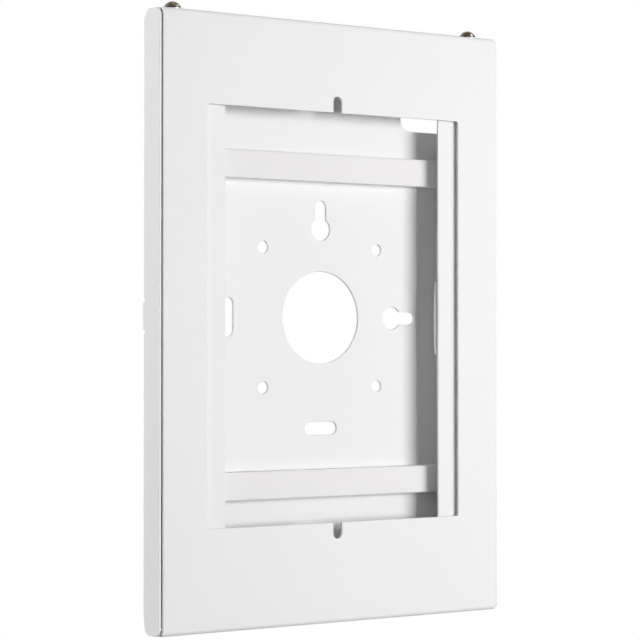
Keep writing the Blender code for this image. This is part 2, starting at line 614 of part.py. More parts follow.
def build():
    white = new_material("white_powder_coat", (0.83, 0.82, 0.81), 0.5, 0)
    steel = new_material("stainless_steel", (0.55, 0.52, 0.48), 0.25, 1)
    zinc = new_material("zinc_plated_steel", (0.62, 0.63, 0.65), 0.35, 1)
    foam = new_material("white_foam", (0.80, 0.79, 0.78), 0.9, 0)
    rubber = new_material("grey_rubber", (0.20, 0.20, 0.21), 0.8, 0)

    rear_tray(white)
    front_cover(white)
    side_rail("side_rail_left", -1, white)
    side_rail("side_rail_right", 1, white)
    tablet_ledge(white)
    soft_pieces(foam, rubber)
    labels = ["rail_left_lower", "rail_left_upper", "rail_right_lower", "rail_right_upper",
              "ledge_left", "ledge_right"]
    seats = [FOOT_Y - RAIL_SHEET] * 4 + [FOOT_Y - LEDGE_SHEET] * 2
    for label, place, seat_y in zip(labels, stud_places(), seats):
        stud_and_nut(label, place, seat_y, zinc)
    cover_fasteners("left", -SCREW_X, steel, zinc)
    cover_fasteners("right", SCREW_X, steel, zinc)


clear_scene()
PARTS = new_collection("tablet_wall_mount")
CUTTERS = new_collection("cutters")
build()
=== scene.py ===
"""Looks of a lockable wall mount for a tablet: finishes, edges, threads, foam and the studio.

Laid out as a Blender add-on and run as a script. Metres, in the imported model's own frame: X to the
right, +Y into the wall, +Z up, origin at the centre of the screw pattern on the wall.
"""

from math import cos, pi, radians, sin, tan

import bmesh
import bpy
from bpy.props import FloatProperty, FloatVectorProperty, IntProperty, PointerProperty
from mathutils import Matrix, Vector, noise


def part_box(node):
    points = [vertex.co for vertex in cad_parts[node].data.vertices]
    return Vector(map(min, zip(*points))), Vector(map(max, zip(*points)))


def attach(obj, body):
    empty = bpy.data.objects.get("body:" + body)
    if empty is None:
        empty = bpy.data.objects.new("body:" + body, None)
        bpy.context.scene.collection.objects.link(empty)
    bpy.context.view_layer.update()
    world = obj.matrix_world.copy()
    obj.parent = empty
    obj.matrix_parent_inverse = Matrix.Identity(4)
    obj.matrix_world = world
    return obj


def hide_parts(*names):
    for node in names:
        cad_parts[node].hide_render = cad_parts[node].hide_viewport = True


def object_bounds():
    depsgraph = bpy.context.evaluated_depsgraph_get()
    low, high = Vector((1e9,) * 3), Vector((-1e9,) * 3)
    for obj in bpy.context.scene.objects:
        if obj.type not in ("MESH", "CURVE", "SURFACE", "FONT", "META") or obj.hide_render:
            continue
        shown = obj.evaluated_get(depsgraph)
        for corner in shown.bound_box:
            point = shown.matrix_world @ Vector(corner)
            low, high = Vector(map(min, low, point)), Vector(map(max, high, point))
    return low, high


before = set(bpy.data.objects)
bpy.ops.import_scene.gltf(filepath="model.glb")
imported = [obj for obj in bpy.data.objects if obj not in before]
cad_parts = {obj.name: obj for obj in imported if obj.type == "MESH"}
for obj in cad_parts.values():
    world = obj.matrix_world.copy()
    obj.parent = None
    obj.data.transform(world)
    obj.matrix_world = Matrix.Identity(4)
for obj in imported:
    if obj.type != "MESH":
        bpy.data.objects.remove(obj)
CAD_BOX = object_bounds()
BODY = "root"

bl_info = {
    "name": "Tablet Wall Mount",
    "version": (1, 0, 0),
    "blender": (4, 5, 0),
    "location": "View3D > Sidebar > Wall Mount",
    "description": "Dresses a tablet wall mount: folded tray and cover, rails, foam and fasteners",
    "category": "Object",
}

MERGE = 1e-6                # loose triangles of a solid are joined at this distance
FLAT = radians(0.5)         # neighbouring faces closer than this are one flat face
SHARP = radians(40)         # folds turn by less than this from facet to facet, cut edges by more
SMOOTH = radians(35)        # turned pieces shade smoothly where their faces turn by less than this
EDGE_SEGMENTS = 3           # steps across a rounded edge
THREAD_RINGS = 8            # rings of points in one turn of a thread
DOME_RINGS = 16             # rings of points from a screw head's top to its rim
SOCKET_SIDES = 48           # points round the socket, a multiple of six for its corners
NUT_SIDES = 72              # points round a nut, likewise
RENDER_SIZE = 640           # pixels, for the camera's shift
MM = 0.001

# Sizes of the patterns that stay as they are, in metres
COAT_CLOUD = 0.06           # faint patches of tone in the powder coat
FOAM_CLOUD = 0.012          # the same in the foam
RUBBER_GRAIN = 0.0005
ZINC_CLOUD = 0.0012
# Size of the dark brown patches of painted reflection on the security screws, which stand in for
# dark surroundings mirrored in them
PAINTED_REFLECTION_PATCH = 0.0022         # brown patches on the security screws
TUMBLING_MARK = 0.0004

WARM = "#FFF1EC"            # colour of the light from all round
FLOOR_PAINT = "#CFCFCF"
FLOOR_WIDTH = 3.4
FLOOR_FADE = (0.3, 1.1)     # distances over which the floor turns white
CAMERA_PLACE = (-0.707, -1.0105, -0.0164)
CAMERA_TILT = radians(90.89)
CAMERA_TURN = radians(-35)
CAMERA_SHIFT = -7.4         # pixels


def linear(code):
    """Linear colour of an sRGB hex code."""
    channels = [int(code[i:i + 2], 16) / 255 for i in (1, 3, 5)]
    return tuple(c / 12.92 if c <= 0.04045 else ((c + 0.055) / 1.055) ** 2.4 for c in channels)


def colour_property(name, description, code):
    return FloatVectorProperty(name=name, description=description, default=linear(code),
                               subtype="COLOR", min=0, max=1)


def length_property(name, description, default):
    return FloatProperty(name=name, description=description, default=default, unit="LENGTH",
                         subtype="DISTANCE", min=0, precision=5)


class WallMountFinish(bpy.types.PropertyGroup):
    """Colours and surface sizes"""

    powder: colour_property("Powder coat", "Colour of the tray, cover, rails and ledge", "#F1F1F1")
    foam: colour_property("Foam", "Colour of the foam strips and the side pad", "#FBFAFA")
    rubber: colour_property("Rubber", "Colour of the pad on the ledge", "#3B3B3D")
    zinc: colour_property("Zinc", "Colour of studs, nuts and washers", "#B4B8BC")
    # The steel colour is kept darker than bare steel, and the "Heat tint" colour darkens patches of
    # it further: both are painted reflection, standing in for dark surroundings mirrored in the
    # screws
    steel: colour_property("Steel", "Colour of the security screws", "#8C8273")
    painted_reflection: colour_property("Heat tint", "Colour of the screws' brown patches", "#4B4237")
    edge_round: length_property("Edge rounding", "Rounding of the sheets' cut edges under the coat",
                                0.0003)
    orange_peel: length_property("Orange peel", "Wavelength of the coat's slow waves", 0.0022)
    powder_grain: length_property("Powder grain", "Size of the coat's fine texture", 0.0006)
    foam_cell: length_property("Foam cell", "Size of the foam's cut cells", 0.0007)


class WallMountFasteners(bpy.types.PropertyGroup):
    """Sizes of screws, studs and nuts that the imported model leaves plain"""

    pitch: length_property("Thread pitch", "Height of one turn of the thread", 0.0007)
    thread_depth: length_property("Thread depth", "Depth of the thread", 0.0004)
    shank: length_property("Thread diameter", "Outer diameter of the threads", 0.0040)
    tip: length_property("Tip chamfer", "Chamfer at the end of a shank", 0.0005)
    socket: length_property("Socket", "Width across flats of the screw's socket", 0.0025)
    socket_depth: length_property("Socket depth", "Depth of the socket", 0.0016)
    pin: length_property("Pin", "Diameter of the pin in the socket", 0.0009)
    sides: IntProperty(name="Sides", description="Points round a turned piece", default=64, min=12)


class WallMountStage(bpy.types.PropertyGroup):
    """Camera and light"""

    lens: FloatProperty(name="Lens", description="Focal length of the camera", default=0.12774,
                        unit="CAMERA")
    key: FloatProperty(name="Key light", description="Power of the light from the right",
                       default=33.5, unit="POWER")
    fill: FloatProperty(name="Fill light", description="Power of the light from the left",
                        default=16.0, unit="POWER")
    front: FloatProperty(name="Front light", description="Power of the light beside the camera",
                         default=5.0, unit="POWER")
    back: FloatProperty(name="Back light", description="Power of the light behind the mount",
                        default=24.0, unit="POWER")
    glint: FloatProperty(name="Glint", description="Power of the small light seen in reflections",
                         default=14.0, unit="POWER")
    ambient: FloatProperty(name="Ambient", description="Strength of the light from all round",
                           default=0.07)
    drop: length_property("Floor drop", "Floor below the mount's lowest point", 1.0)


def settings():
    scene = bpy.context.scene
    return scene.wall_mount_finish, scene.wall_mount_fasteners, scene.wall_mount_stage


def add_node(tree, kind, inputs=None, **values):
    """Add a node, set its properties, and fill its inputs with values or other nodes' outputs."""
    node = tree.nodes.new(kind)
    for name, value in values.items():
        setattr(node, name, value)
    for name, value in (inputs or {}).items():
        if isinstance(value, bpy.types.NodeSocket):
            tree.links.new(value, node.inputs[name])
        else:
            node.inputs[name].default_value = value
    return node


def new_material(name):
    material = bpy.data.materials.new(name)
    material.use_nodes = True
    material.node_tree.nodes.clear()
    return material


def surface(material, shader):
    add_node(material.node_tree, "ShaderNodeOutputMaterial", {"Surface": shader.outputs[0]})
    return material


def powder_coat():
    """Polyester powder coat, sprayed and baked: satin, with slow waves and a fine grain."""
    finish = settings()[0]
    material = new_material("white_powder_coat")
    tree = material.node_tree
    place = add_node(tree, "ShaderNodeTexCoord").outputs["Object"]
    clouds = add_node(tree, "ShaderNodeTexNoise", {
        "Vector": place, "Scale": 1 / COAT_CLOUD, "Detail": 2})
    tone = add_node(tree, "ShaderNodeMixRGB", {
        "Fac": clouds.outputs["Fac"], "Color1": (*finish.powder, 1),
        "Color2": (*(c * 0.985 for c in finish.powder), 1)})
    waves = add_node(tree, "ShaderNodeTexNoise", {
        "Vector": place, "Scale": 1 / finish.orange_peel, "Detail": 1, "Roughness": 0.4})
    grain = add_node(tree, "ShaderNodeTexNoise", {
        "Vector": place, "Scale": 1 / finish.powder_grain, "Detail": 2})
    peel = add_node(tree, "ShaderNodeBump", {
        "Strength": 0.35, "Distance": 0.00003, "Height": waves.outputs["Fac"]})
    bump = add_node(tree, "ShaderNodeBump", {
        "Strength": 0.25, "Distance": 0.00001, "Height": grain.outputs["Fac"],
        "Normal": peel.outputs["Normal"]})
    gloss = add_node(tree, "ShaderNodeMapRange", {
        "Value": grain.outputs["Fac"], "To Min": 0.46, "To Max": 0.56})
    shader = add_node(tree, "ShaderNodeBsdfPrincipled", {
        "Base Color": tone.outputs["Color"], "Roughness": gloss.outputs["Result"], "IOR": 1.5,
        "Normal": bump.outputs["Normal"]})
    return surface(material, shader)


def cut_foam():
    """White closed-cell foam, cut from sheet: matt, with the open halves of small cells."""
    finish = settings()[0]
    material = new_material("white_foam")
    tree = material.node_tree
    place = add_node(tree, "ShaderNodeTexCoord").outputs["Object"]
    cells = add_node(tree, "ShaderNodeTexVoronoi", {"Vector": place, "Scale": 1 / finish.foam_cell})
    clouds = add_node(tree, "ShaderNodeTexNoise", {
        "Vector": place, "Scale": 1 / FOAM_CLOUD, "Detail": 3})
    tone = add_node(tree, "ShaderNodeMixRGB", {
        "Fac": clouds.outputs["Fac"], "Color1": (*finish.foam, 1),
        "Color2": (*(c * 0.97 for c in finish.foam), 1)})
    pits = add_node(tree, "ShaderNodeBump", {
        "Strength": 0.4, "Distance": 0.00008, "Height": cells.outputs["Distance"]})
    swell = add_node(tree, "ShaderNodeBump", {
        "Strength": 0.3, "Distance": 0.0002, "Height": clouds.outputs["Fac"],
        "Normal": pits.outputs["Normal"]})
    shader = add_node(tree, "ShaderNodeBsdfPrincipled", {
        "Base Color": tone.outputs["Color"], "Roughness": 0.8, "IOR": 1.5,
        "Normal": swell.outputs["Normal"]})
    return surface(material, shader)


def moulded_rubber():
    """Moulded rubber: dark, matt, with a fine even grain from the mould."""
    finish = settings()[0]
    material = new_material("grey_rubber")
    tree = material.node_tree
    place = add_node(tree, "ShaderNodeTexCoord").outputs["Object"]
    grain = add_node(tree, "ShaderNodeTexNoise", {
        "Vector": place, "Scale": 1 / RUBBER_GRAIN, "Detail": 2})
    dust = add_node(tree, "ShaderNodeMixRGB", {
        "Fac": grain.outputs["Fac"], "Color1": (*(c * 0.8 for c in finish.rubber), 1),
        "Color2": (*finish.rubber, 1)})
    bump = add_node(tree, "ShaderNodeBump", {
        "Strength": 0.4, "Distance": 0.00004, "Height": grain.outputs["Fac"]})
    shader = add_node(tree, "ShaderNodeBsdfPrincipled", {
        "Base Color": dust.outputs["Color"], "Roughness": 0.75, "IOR": 1.52,
        "Normal": bump.outputs["Normal"]})
    return surface(material, shader)


def bright_zinc():
    """Bright zinc plate on turned steel: cool grey, with a faint cloudiness from the bath."""
    finish = settings()[0]
    material = new_material("bright_zinc")
    tree = material.node_tree
    place = add_node(tree, "ShaderNodeTexCoord").outputs["Object"]
    clouds = add_node(tree, "ShaderNodeTexNoise", {
        "Vector": place, "Scale": 1 / ZINC_CLOUD, "Detail": 3})
    tone = add_node(tree, "ShaderNodeMixRGB", {
        "Fac": clouds.outputs["Fac"], "Color1": (*(c * 0.85 for c in finish.zinc), 1),
        "Color2": (*finish.zinc, 1)})
    gloss = add_node(tree, "ShaderNodeMapRange", {
        "Value": clouds.outputs["Fac"], "To Min": 0.28, "To Max": 0.42})
    shader = add_node(tree, "ShaderNodeBsdfPrincipled", {
        "Base Color": tone.outputs["Color"], "Metallic": 1, "Roughness": gloss.outputs["Result"]})
    return surface(material, shader)


def tumbled_steel():
    """Stainless steel, cold headed and tumbled: smooth and bright, with dark brown patches of
    painted reflection that stand in for dark surroundings.
    """
    finish = settings()[0]
    material = new_material("tumbled_stainless_steel")
    tree = material.node_tree
    place = add_node(tree, "ShaderNodeTexCoord").outputs["Object"]
    # Painted reflection: noise picks the patches where the steel turns dark brown, as if it mirrored
    # dark surroundings
    painted_reflection = add_node(tree, "ShaderNodeTexNoise", {
        "Vector": place, "Scale": 1 / PAINTED_REFLECTION_PATCH, "Detail": 2})
    patches = add_node(tree, "ShaderNodeMapRange", {
        "Value": painted_reflection.outputs["Fac"], "From Min": 0.42, "From Max": 0.62})
    tone = add_node(tree, "ShaderNodeMixRGB", {
        "Fac": patches.outputs["Result"], "Color1": (*finish.painted_reflection, 1),
        "Color2": (*finish.steel, 1)})
    # Tumbling marks are finer than this; they are drawn at 0.4 mm so that they show.
    marks = add_node(tree, "ShaderNodeTexNoise", {
        "Vector": place, "Scale": 1 / TUMBLING_MARK, "Detail": 4})
    bump = add_node(tree, "ShaderNodeBump", {
        "Strength": 0.15, "Distance": 0.00002, "Height": marks.outputs["Fac"]})
    shader = add_node(tree, "ShaderNodeBsdfPrincipled", {
        "Base Color": tone.outputs["Color"], "Metallic": 1, "Roughness": 0.2,
        "Normal": bump.outputs["Normal"]})
    return surface(material, shader)


def material_of(name, make):
    """A finish is made once and shared by its pieces."""
    return bpy.data.materials.get(name) or make()


def place_piece(obj, slot, *nodes):
    """Hand a finished piece over: it rides on the mount and stands for its solids."""
    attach(obj, BODY)
    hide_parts(*nodes)
    return obj


def new_piece(name, mesh, material):
    mesh.name = name
    mesh.materials.clear()
    mesh.materials.append(material)
    obj = bpy.data.objects.new(name, mesh)
    bpy.context.scene.collection.objects.link(obj)
    return obj


def joined_solid(node):
    """Copy of a solid's mesh with its loose triangles joined into flat faces."""
    work = bmesh.new()
    work.from_mesh(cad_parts[node].data)
    bmesh.ops.remove_doubles(work, verts=work.verts, dist=MERGE)
    bmesh.ops.dissolve_limit(work, angle_limit=FLAT, verts=work.verts, edges=work.edges)
    for face in work.faces:
        face.smooth = True
    mesh = bpy.data.meshes.new(node)
    work.to_mesh(mesh)
    work.free()
    return mesh


def round_edges(obj, width):
    """Round the cut edges, and keep the flat faces flat to the eye."""
    bevel = obj.modifiers.new("rounded edges", "BEVEL")
    bevel.width = width
    bevel.segments = EDGE_SEGMENTS
    bevel.limit_method = "ANGLE"
    bevel.angle_limit = SHARP
    bevel.miter_outer = "MITER_ARC"
    bevel.use_clamp_overlap = False     # short edges inside the folds would shrink every rounding
    normals = obj.modifiers.new("flat faces", "WEIGHTED_NORMAL")
    normals.mode = "FACE_AREA"
    normals.weight = 100


def coated_sheet(name, node):
    """A folded sheet with its cut edges rounded and its powder coat on."""
    finish = settings()[0]
    obj = new_piece(name, joined_solid(node), material_of("white_powder_coat", powder_coat))
    round_edges(obj, finish.edge_round)
    return place_piece(obj, "powder_coat", node)


def ring_mesh(name, rings, sides, closed):
    """Turned mesh from rings of points, each a function of the angle that gives (radius, height).

    A closed profile is a ring-shaped body, such as a nut. An open one ends in a point on the axis
    at both ends, such as a screw.
    """
    work = bmesh.new()
    angles = [2 * pi * i / sides for i in range(sides)]
    rows = []
    for index, ring in enumerate(rings):
        pole = not closed and index in (0, len(rings) - 1)
        points = [ring(angle) for angle in (angles[:1] if pole else angles)]
        rows.append([work.verts.new((radius * cos(angle), radius * sin(angle), height))
                     for (radius, height), angle in zip(points, angles)])
    pairs = list(zip(rows, rows[1:])) + ([(rows[-1], rows[0])] if closed else [])
    for upper, lower in pairs:
        for i in range(sides):
            j = (i + 1) % sides
            corners = [upper[i % len(upper)], lower[i % len(lower)],
                       lower[j % len(lower)], upper[j % len(upper)]]
            work.faces.new(list(dict.fromkeys(corners)))
    bmesh.ops.recalc_face_normals(work, faces=work.faces)
    mesh = bpy.data.meshes.new(name)
    work.to_mesh(mesh)
    work.free()
    return mesh


def at(radius, height):
    """A round ring."""
    return lambda angle: (radius, height)


def stretch(radius, start, end, step):
    """Rings along a straight shank or bore, close enough together for its thread."""
    count = max(2, round(abs(end - start) / step))
    return [at(radius, start + (end - start) * i / count) for i in range(count + 1)]


def thread_tree():
    """Node tree that cuts a thread into the shank or bore of a turned piece."""
    name = "cut_thread"
    found = bpy.data.node_groups.get(name)
    if found:
        return found
    tree = bpy.data.node_groups.new(name, "GeometryNodeTree")
    face = tree.interface
    face.new_socket("Geometry", in_out="INPUT", socket_type="NodeSocketGeometry")
    for label in ("Pitch", "Depth", "Start", "End", "Limit Radius"):
        face.new_socket(label, in_out="INPUT", socket_type="NodeSocketFloat")
    face.new_socket("Material", in_out="INPUT", socket_type="NodeSocketMaterial")
    face.new_socket("Geometry", in_out="OUTPUT", socket_type="NodeSocketGeometry")
    given = add_node(tree, "NodeGroupInput").outputs

    def maths(operation, first, second=0.0):
        node = add_node(tree, "ShaderNodeMath", operation=operation)
        for socket, value in zip(node.inputs, (first, second)):
            if isinstance(value, bpy.types.NodeSocket):
                tree.links.new(value, socket)
            else:
                socket.default_value = value
        return node.outputs[0]

    place = add_node(tree, "GeometryNodeInputPosition").outputs["Position"]
    axes = add_node(tree, "ShaderNodeSeparateXYZ", {"Vector": place}).outputs
    outward = add_node(tree, "ShaderNodeCombineXYZ", {"X": axes["X"], "Y": axes["Y"]}).outputs[0]
    radius = add_node(tree, "ShaderNodeVectorMath", {0: outward},
                      operation="LENGTH").outputs["Value"]
    unit = add_node(tree, "ShaderNodeVectorMath", {0: outward},
                    operation="NORMALIZE").outputs["Vector"]
    turn = maths("DIVIDE", maths("ARCTAN2", axes["Y"], axes["X"]), 2 * pi)
    height = maths("SUBTRACT", maths("DIVIDE", axes["Z"], given["Pitch"]), turn)
    ridge = maths("MULTIPLY", maths("PINGPONG", height, 0.5), 2.0)
    lead_in = add_node(tree, "ShaderNodeMapRange", {
        "Value": axes["Z"], "From Min": given["Start"],
        "From Max": maths("ADD", given["Start"], given["Pitch"])}).outputs["Result"]
    lead_out = add_node(tree, "ShaderNodeMapRange", {
        "Value": axes["Z"], "From Min": given["End"],
        "From Max": maths("SUBTRACT", given["End"], given["Pitch"])}).outputs["Result"]
    inside = maths("LESS_THAN", radius, given["Limit Radius"])
    amount = maths("MULTIPLY", maths("MULTIPLY", ridge, given["Depth"]),
                   maths("MULTIPLY", inside, maths("MULTIPLY", lead_in, lead_out)))
    shift = add_node(tree, "ShaderNodeVectorMath", {
        0: unit, "Scale": maths("MULTIPLY", amount, -1.0)}, operation="SCALE").outputs["Vector"]
    moved = add_node(tree, "GeometryNodeSetPosition", {
        "Geometry": given["Geometry"], "Offset": shift})
    real = add_node(tree, "GeometryNodeRealizeInstances", {"Geometry": moved.outputs["Geometry"]})
    coated = add_node(tree, "GeometryNodeSetMaterial", {
        "Geometry": real.outputs["Geometry"], "Material": given["Material"]})
    add_node(tree, "NodeGroupOutput", {"Geometry": coated.outputs["Geometry"]})
    return tree


def threaded(name, mesh, material, place, depth, start, end, limit, cutter=None):
    """Turned mesh with its thread cut, and its socket if it has one, moved to its place."""
    fasteners = settings()[1]
    obj = new_piece(name + "_blank", mesh, material)
    if cutter:
        socket = obj.modifiers.new("socket", "BOOLEAN")
        socket.operation = "DIFFERENCE"
        socket.solver = "EXACT"
        socket.object = cutter
    tree = thread_tree()
    modifier = obj.modifiers.new("thread", "NODES")
    modifier.node_group = tree
    values = {"Pitch": fasteners.pitch, "Depth": depth, "Start": start, "End": end,
              "Limit Radius": limit, "Material": material}
    for item in tree.interface.items_tree:
        if item.in_out == "INPUT" and item.name in values:
            modifier[item.identifier] = values[item.name]
    bpy.context.view_layer.update()
    done = bpy.data.meshes.new_from_object(obj.evaluated_get(bpy.context.evaluated_depsgraph_get()))
    bpy.data.objects.remove(obj)
    if cutter:
        bpy.data.objects.remove(cutter)
    done.transform(place)
    done.shade_smooth()
    done.set_sharp_from_angle(angle=SMOOTH)
    return new_piece(name, done, material)


def hexagon(flats, height):
    """A ring with six flats."""
    return lambda angle: (flats / 2 / cos((angle + pi / 6) % (pi / 3) - pi / 6), height)


def build_cover_screw(label):
    """Dome head security screw with a socket and a centre pin."""
    fasteners = settings()[1]
    node = "cover_screw_" + label
    low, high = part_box(node)
    washer_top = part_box("screw_washer_" + label)[1].z
    centre = (low + high) / 2
    head = (high.x - low.x) / 2
    seat = washer_top + 0.3 * MM
    rim, top = 0.4 * MM, high.z - seat
    shank, tip = fasteners.shank / 2, fasteners.tip
    end = low.z - seat
    soft = 0.15 * MM
    thread_top = -1.2 * MM
    span = radians(62)                  # a shallow cap, not a half ball
    dome = [at(head * sin(t) / sin(span),
               rim + (top - rim) * (cos(t) - cos(span)) / (1 - cos(span)))
            for t in (span * i / DOME_RINGS for i in range(DOME_RINGS + 1))]
    step = fasteners.pitch / THREAD_RINGS
    rings = (dome + [at(head, soft), at(head - soft, 0), at(shank + soft, 0), at(shank, -soft)]
             + stretch(shank, -2 * soft, end + tip, step) + [at(shank - tip, end), at(0, end)])
    mesh = ring_mesh(node, rings, fasteners.sides, closed=False)
    floor, above = top - fasteners.socket_depth, top + MM
    hole = [hexagon(fasteners.socket, floor), hexagon(fasteners.socket, above),
            at(fasteners.pin / 2, above), at(fasteners.pin / 2, floor)]
    cutter = new_piece("socket", ring_mesh("socket", hole, SOCKET_SIDES, closed=True), None)
    steel = material_of("tumbled_stainless_steel", tumbled_steel)
    obj = threaded("security_screw_" + label, mesh, steel,
                   Matrix.Translation((centre.x, centre.y, seat)), fasteners.thread_depth,
                   end, thread_top, shank + 0.1 * MM, cutter)
    return place_piece(obj, "stainless", node)


def build_ring(name, node, slot, material, inner, chamfer):
    """Washer or press nut: a turned ring that fills its solid's box, with a smooth bore."""
    fasteners = settings()[1]
    low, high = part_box(node)
    centre = (low + high) / 2
    outer, height = (high.x - low.x) / 2, high.z - low.z
    edge = 0.12 * MM
    bore = stretch(inner, edge, height - edge, fasteners.pitch / THREAD_RINGS)
    rings = [at(inner + edge, height), at(outer - edge, height), at(outer, height - edge),
             at(outer, chamfer), at(outer - chamfer, 0), at(inner + edge, 0), *bore]
    mesh = ring_mesh(name, rings, fasteners.sides, closed=True)
    place = Matrix.Translation((centre.x, centre.y, low.z))
    no_thread = 0
    obj = threaded(name, mesh, material, place, no_thread, 0, height, inner + 0.05 * MM)
    return place_piece(obj, slot, node)


def build_stud(name, node, material):
    """Stud pressed into the plate from behind: flat head at the wall, threaded shank."""
    fasteners = settings()[1]
    low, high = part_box(node)
    centre = (low + high) / 2
    head, end = (high.x - low.x) / 2, low.y - high.y
    thick, soft, thread_top = 0.6 * MM, 0.1 * MM, -1.8 * MM
    shank, tip = fasteners.shank / 2, fasteners.tip
    rings = ([at(0, 0), at(head - soft, 0), at(head, -soft), at(head, -thick), at(shank, -thick)]
             + stretch(shank, -thick - soft, end + tip, fasteners.pitch / THREAD_RINGS)
             + [at(shank - tip, end), at(0, end)])
    mesh = ring_mesh(name, rings, fasteners.sides, closed=False)
    place = Matrix.Translation((centre.x, high.y, centre.z)) @ Matrix.Rotation(-pi / 2, 4, "X")
    obj = threaded(name, mesh, material, place, fasteners.thread_depth, end, thread_top,
                   shank + 0.1 * MM)
    return place_piece(obj, "zinc", node)


def build_nut(name, node, material):
    """Hexagon nut with its corners chamfered on both sides and a threaded bore."""
    fasteners = settings()[1]
    low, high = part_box(node)
    centre = (low + high) / 2
    flats, height = high.z - low.z, high.y - low.y
    inner = fasteners.shank / 2 + 0.05 * MM
    edge = 0.3 * MM
    flat = flats / 2 * 0.96             # radius of the round face inside the corners
    chamfer = radians(30)
    thread = -0.2 * MM                  # outwards, into the nut

    def corner(side):
        """Top or bottom edge of the flats, which dips towards the corners."""
        def ring(angle):
            radius = hexagon(flats, 0)(angle)[0]
            dip = (radius - flat) * tan(chamfer)
            return radius, height - dip if side > 0 else dip
        return ring

    bore = stretch(inner, edge, height - edge, fasteners.pitch / THREAD_RINGS)
    rings = [at(inner + edge, height), at(flat, height), corner(1), corner(-1), at(flat, 0),
             at(inner + edge, 0), *bore]
    mesh = ring_mesh(name, rings, NUT_SIDES, closed=True)
    place = Matrix.Translation((centre.x, high.y, centre.z)) @ Matrix.Rotation(pi / 2, 4, "X")
    obj = threaded(name, mesh, material, place, thread, 0, height, inner + 0.05 * MM)
    return place_piece(obj, "zinc", node)


def soft_block(name, node, slot, material, edge, crown):
    """Strip of foam or rubber: soft edges, a faint crown and a slightly wavy face."""
    low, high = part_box(node)
    centre, size = (low + high) / 2, high - low
    face_wave, end_wave, narrowing = 9 * MM, 14 * MM, 0.006
    work = bmesh.new()
    bmesh.ops.create_cube(work, size=1,
                          matrix=Matrix.Translation(centre) @ Matrix.Diagonal((*size, 1)))
    bmesh.ops.bevel(work, geom=work.edges, offset=edge, segments=3, profile=0.5, affect="EDGES",
                    clamp_overlap=True)
    for axis, step in ((0, 4 * MM), (2, 2 * MM)):
        normal = Vector([1.0 if i == axis else 0.0 for i in range(3)])
        count = int(size[axis] / step)
        for i in range(1, count):
            at_place = Vector(centre)
            at_place[axis] = low[axis] + size[axis] * i / count
            bmesh.ops.bisect_plane(work, geom=[*work.verts, *work.edges, *work.faces], dist=MERGE,
                                   plane_co=at_place, plane_no=normal)
    for vert in work.verts:
        offset = vert.co - centre
        across = [1 - (2 * abs(offset[i]) / size[i]) ** 4 for i in (0, 2)]
        wave = noise.noise(vert.co / face_wave) * 0.3
        if offset.y < 0:
            vert.co.y += crown * (1 - across[0] * across[1]) + crown * wave * 0.5 + crown * 0.2
        vert.co.z -= offset.z * narrowing * (1 + noise.noise(vert.co / end_wave))
    for face in work.faces:
        face.smooth = True
    mesh = bpy.data.meshes.new(name)
    work.to_mesh(mesh)
    work.free()
    obj = new_piece(name, mesh, material)
    place_piece(obj, slot, node)
    return obj


def build_side_pad():
    """Foam pad with bulging sides, stuck behind the right rail's front flange."""
    node = "rail_pad"
    low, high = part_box(node)
    centre = (low + high) / 2
    side_inset, end_inset, edge = 0.9 * MM, 4.0 * MM, 0.35 * MM
    half_x = (high.x - low.x) / 2 - side_inset
    half_z = (high.z - low.z) / 2 - end_inset
    bulge, steps = 0.8 * MM, 8
    outline = [(side * (half_x - bulge * t * t), side * half_z * t)
               for side in (-1, 1) for t in (i / steps - 1 for i in range(2 * steps + 1))]
    work = bmesh.new()
    front = work.faces.new([work.verts.new((centre.x + x, low.y, centre.z + z))
                            for x, z in outline])
    back = bmesh.ops.extrude_face_region(work, geom=[front])["geom"]
    verts = [item for item in back if isinstance(item, bmesh.types.BMVert)]
    bmesh.ops.translate(work, verts=verts, vec=(0, high.y - low.y, 0))
    bmesh.ops.recalc_face_normals(work, faces=work.faces)
    for face in work.faces:
        face.smooth = True
    mesh = bpy.data.meshes.new("side_pad")
    work.to_mesh(mesh)
    work.free()
    obj = new_piece("side_pad", mesh, material_of("white_foam", cut_foam))
    round_edges(obj, edge)
    place_piece(obj, "foam", node)
    return obj


def build_floor(stage):
    """Pale floor under the mount, which fades into the white round it."""
    mesh = bpy.data.meshes.new("floor")
    work = bmesh.new()
    bmesh.ops.create_circle(work, cap_ends=True, segments=96, radius=FLOOR_WIDTH / 2)
    work.to_mesh(mesh)
    work.free()
    mesh.transform(Matrix.Translation((0, 0, CAD_BOX[0].z - stage.drop)))
    material = new_material("pale_floor")
    tree = material.node_tree
    paint = add_node(tree, "ShaderNodeBsdfDiffuse", {"Color": (*linear(FLOOR_PAINT), 1)})
    white = add_node(tree, "ShaderNodeEmission", {"Color": (1, 1, 1, 1), "Strength": 1})
    place = add_node(tree, "ShaderNodeTexCoord").outputs["Object"]
    axes = add_node(tree, "ShaderNodeSeparateXYZ", {"Vector": place}).outputs
    flat = add_node(tree, "ShaderNodeCombineXYZ", {"X": axes["X"], "Y": axes["Y"]}).outputs[0]
    far = add_node(tree, "ShaderNodeVectorMath", {0: flat}, operation="LENGTH").outputs["Value"]
    fade = add_node(tree, "ShaderNodeMapRange", {
        "Value": far, "From Min": FLOOR_FADE[0], "From Max": FLOOR_FADE[1]},
        interpolation_type="SMOOTHSTEP")
    camera = add_node(tree, "ShaderNodeLightPath").outputs["Is Camera Ray"]
    share = add_node(tree, "ShaderNodeMath", {0: fade.outputs["Result"], 1: camera},
                     operation="MULTIPLY").outputs[0]
    shader = add_node(tree, "ShaderNodeMixShader", {
        0: share, 1: paint.outputs[0], 2: white.outputs[0]})
    surface(material, shader)
    new_piece("floor", mesh, material)


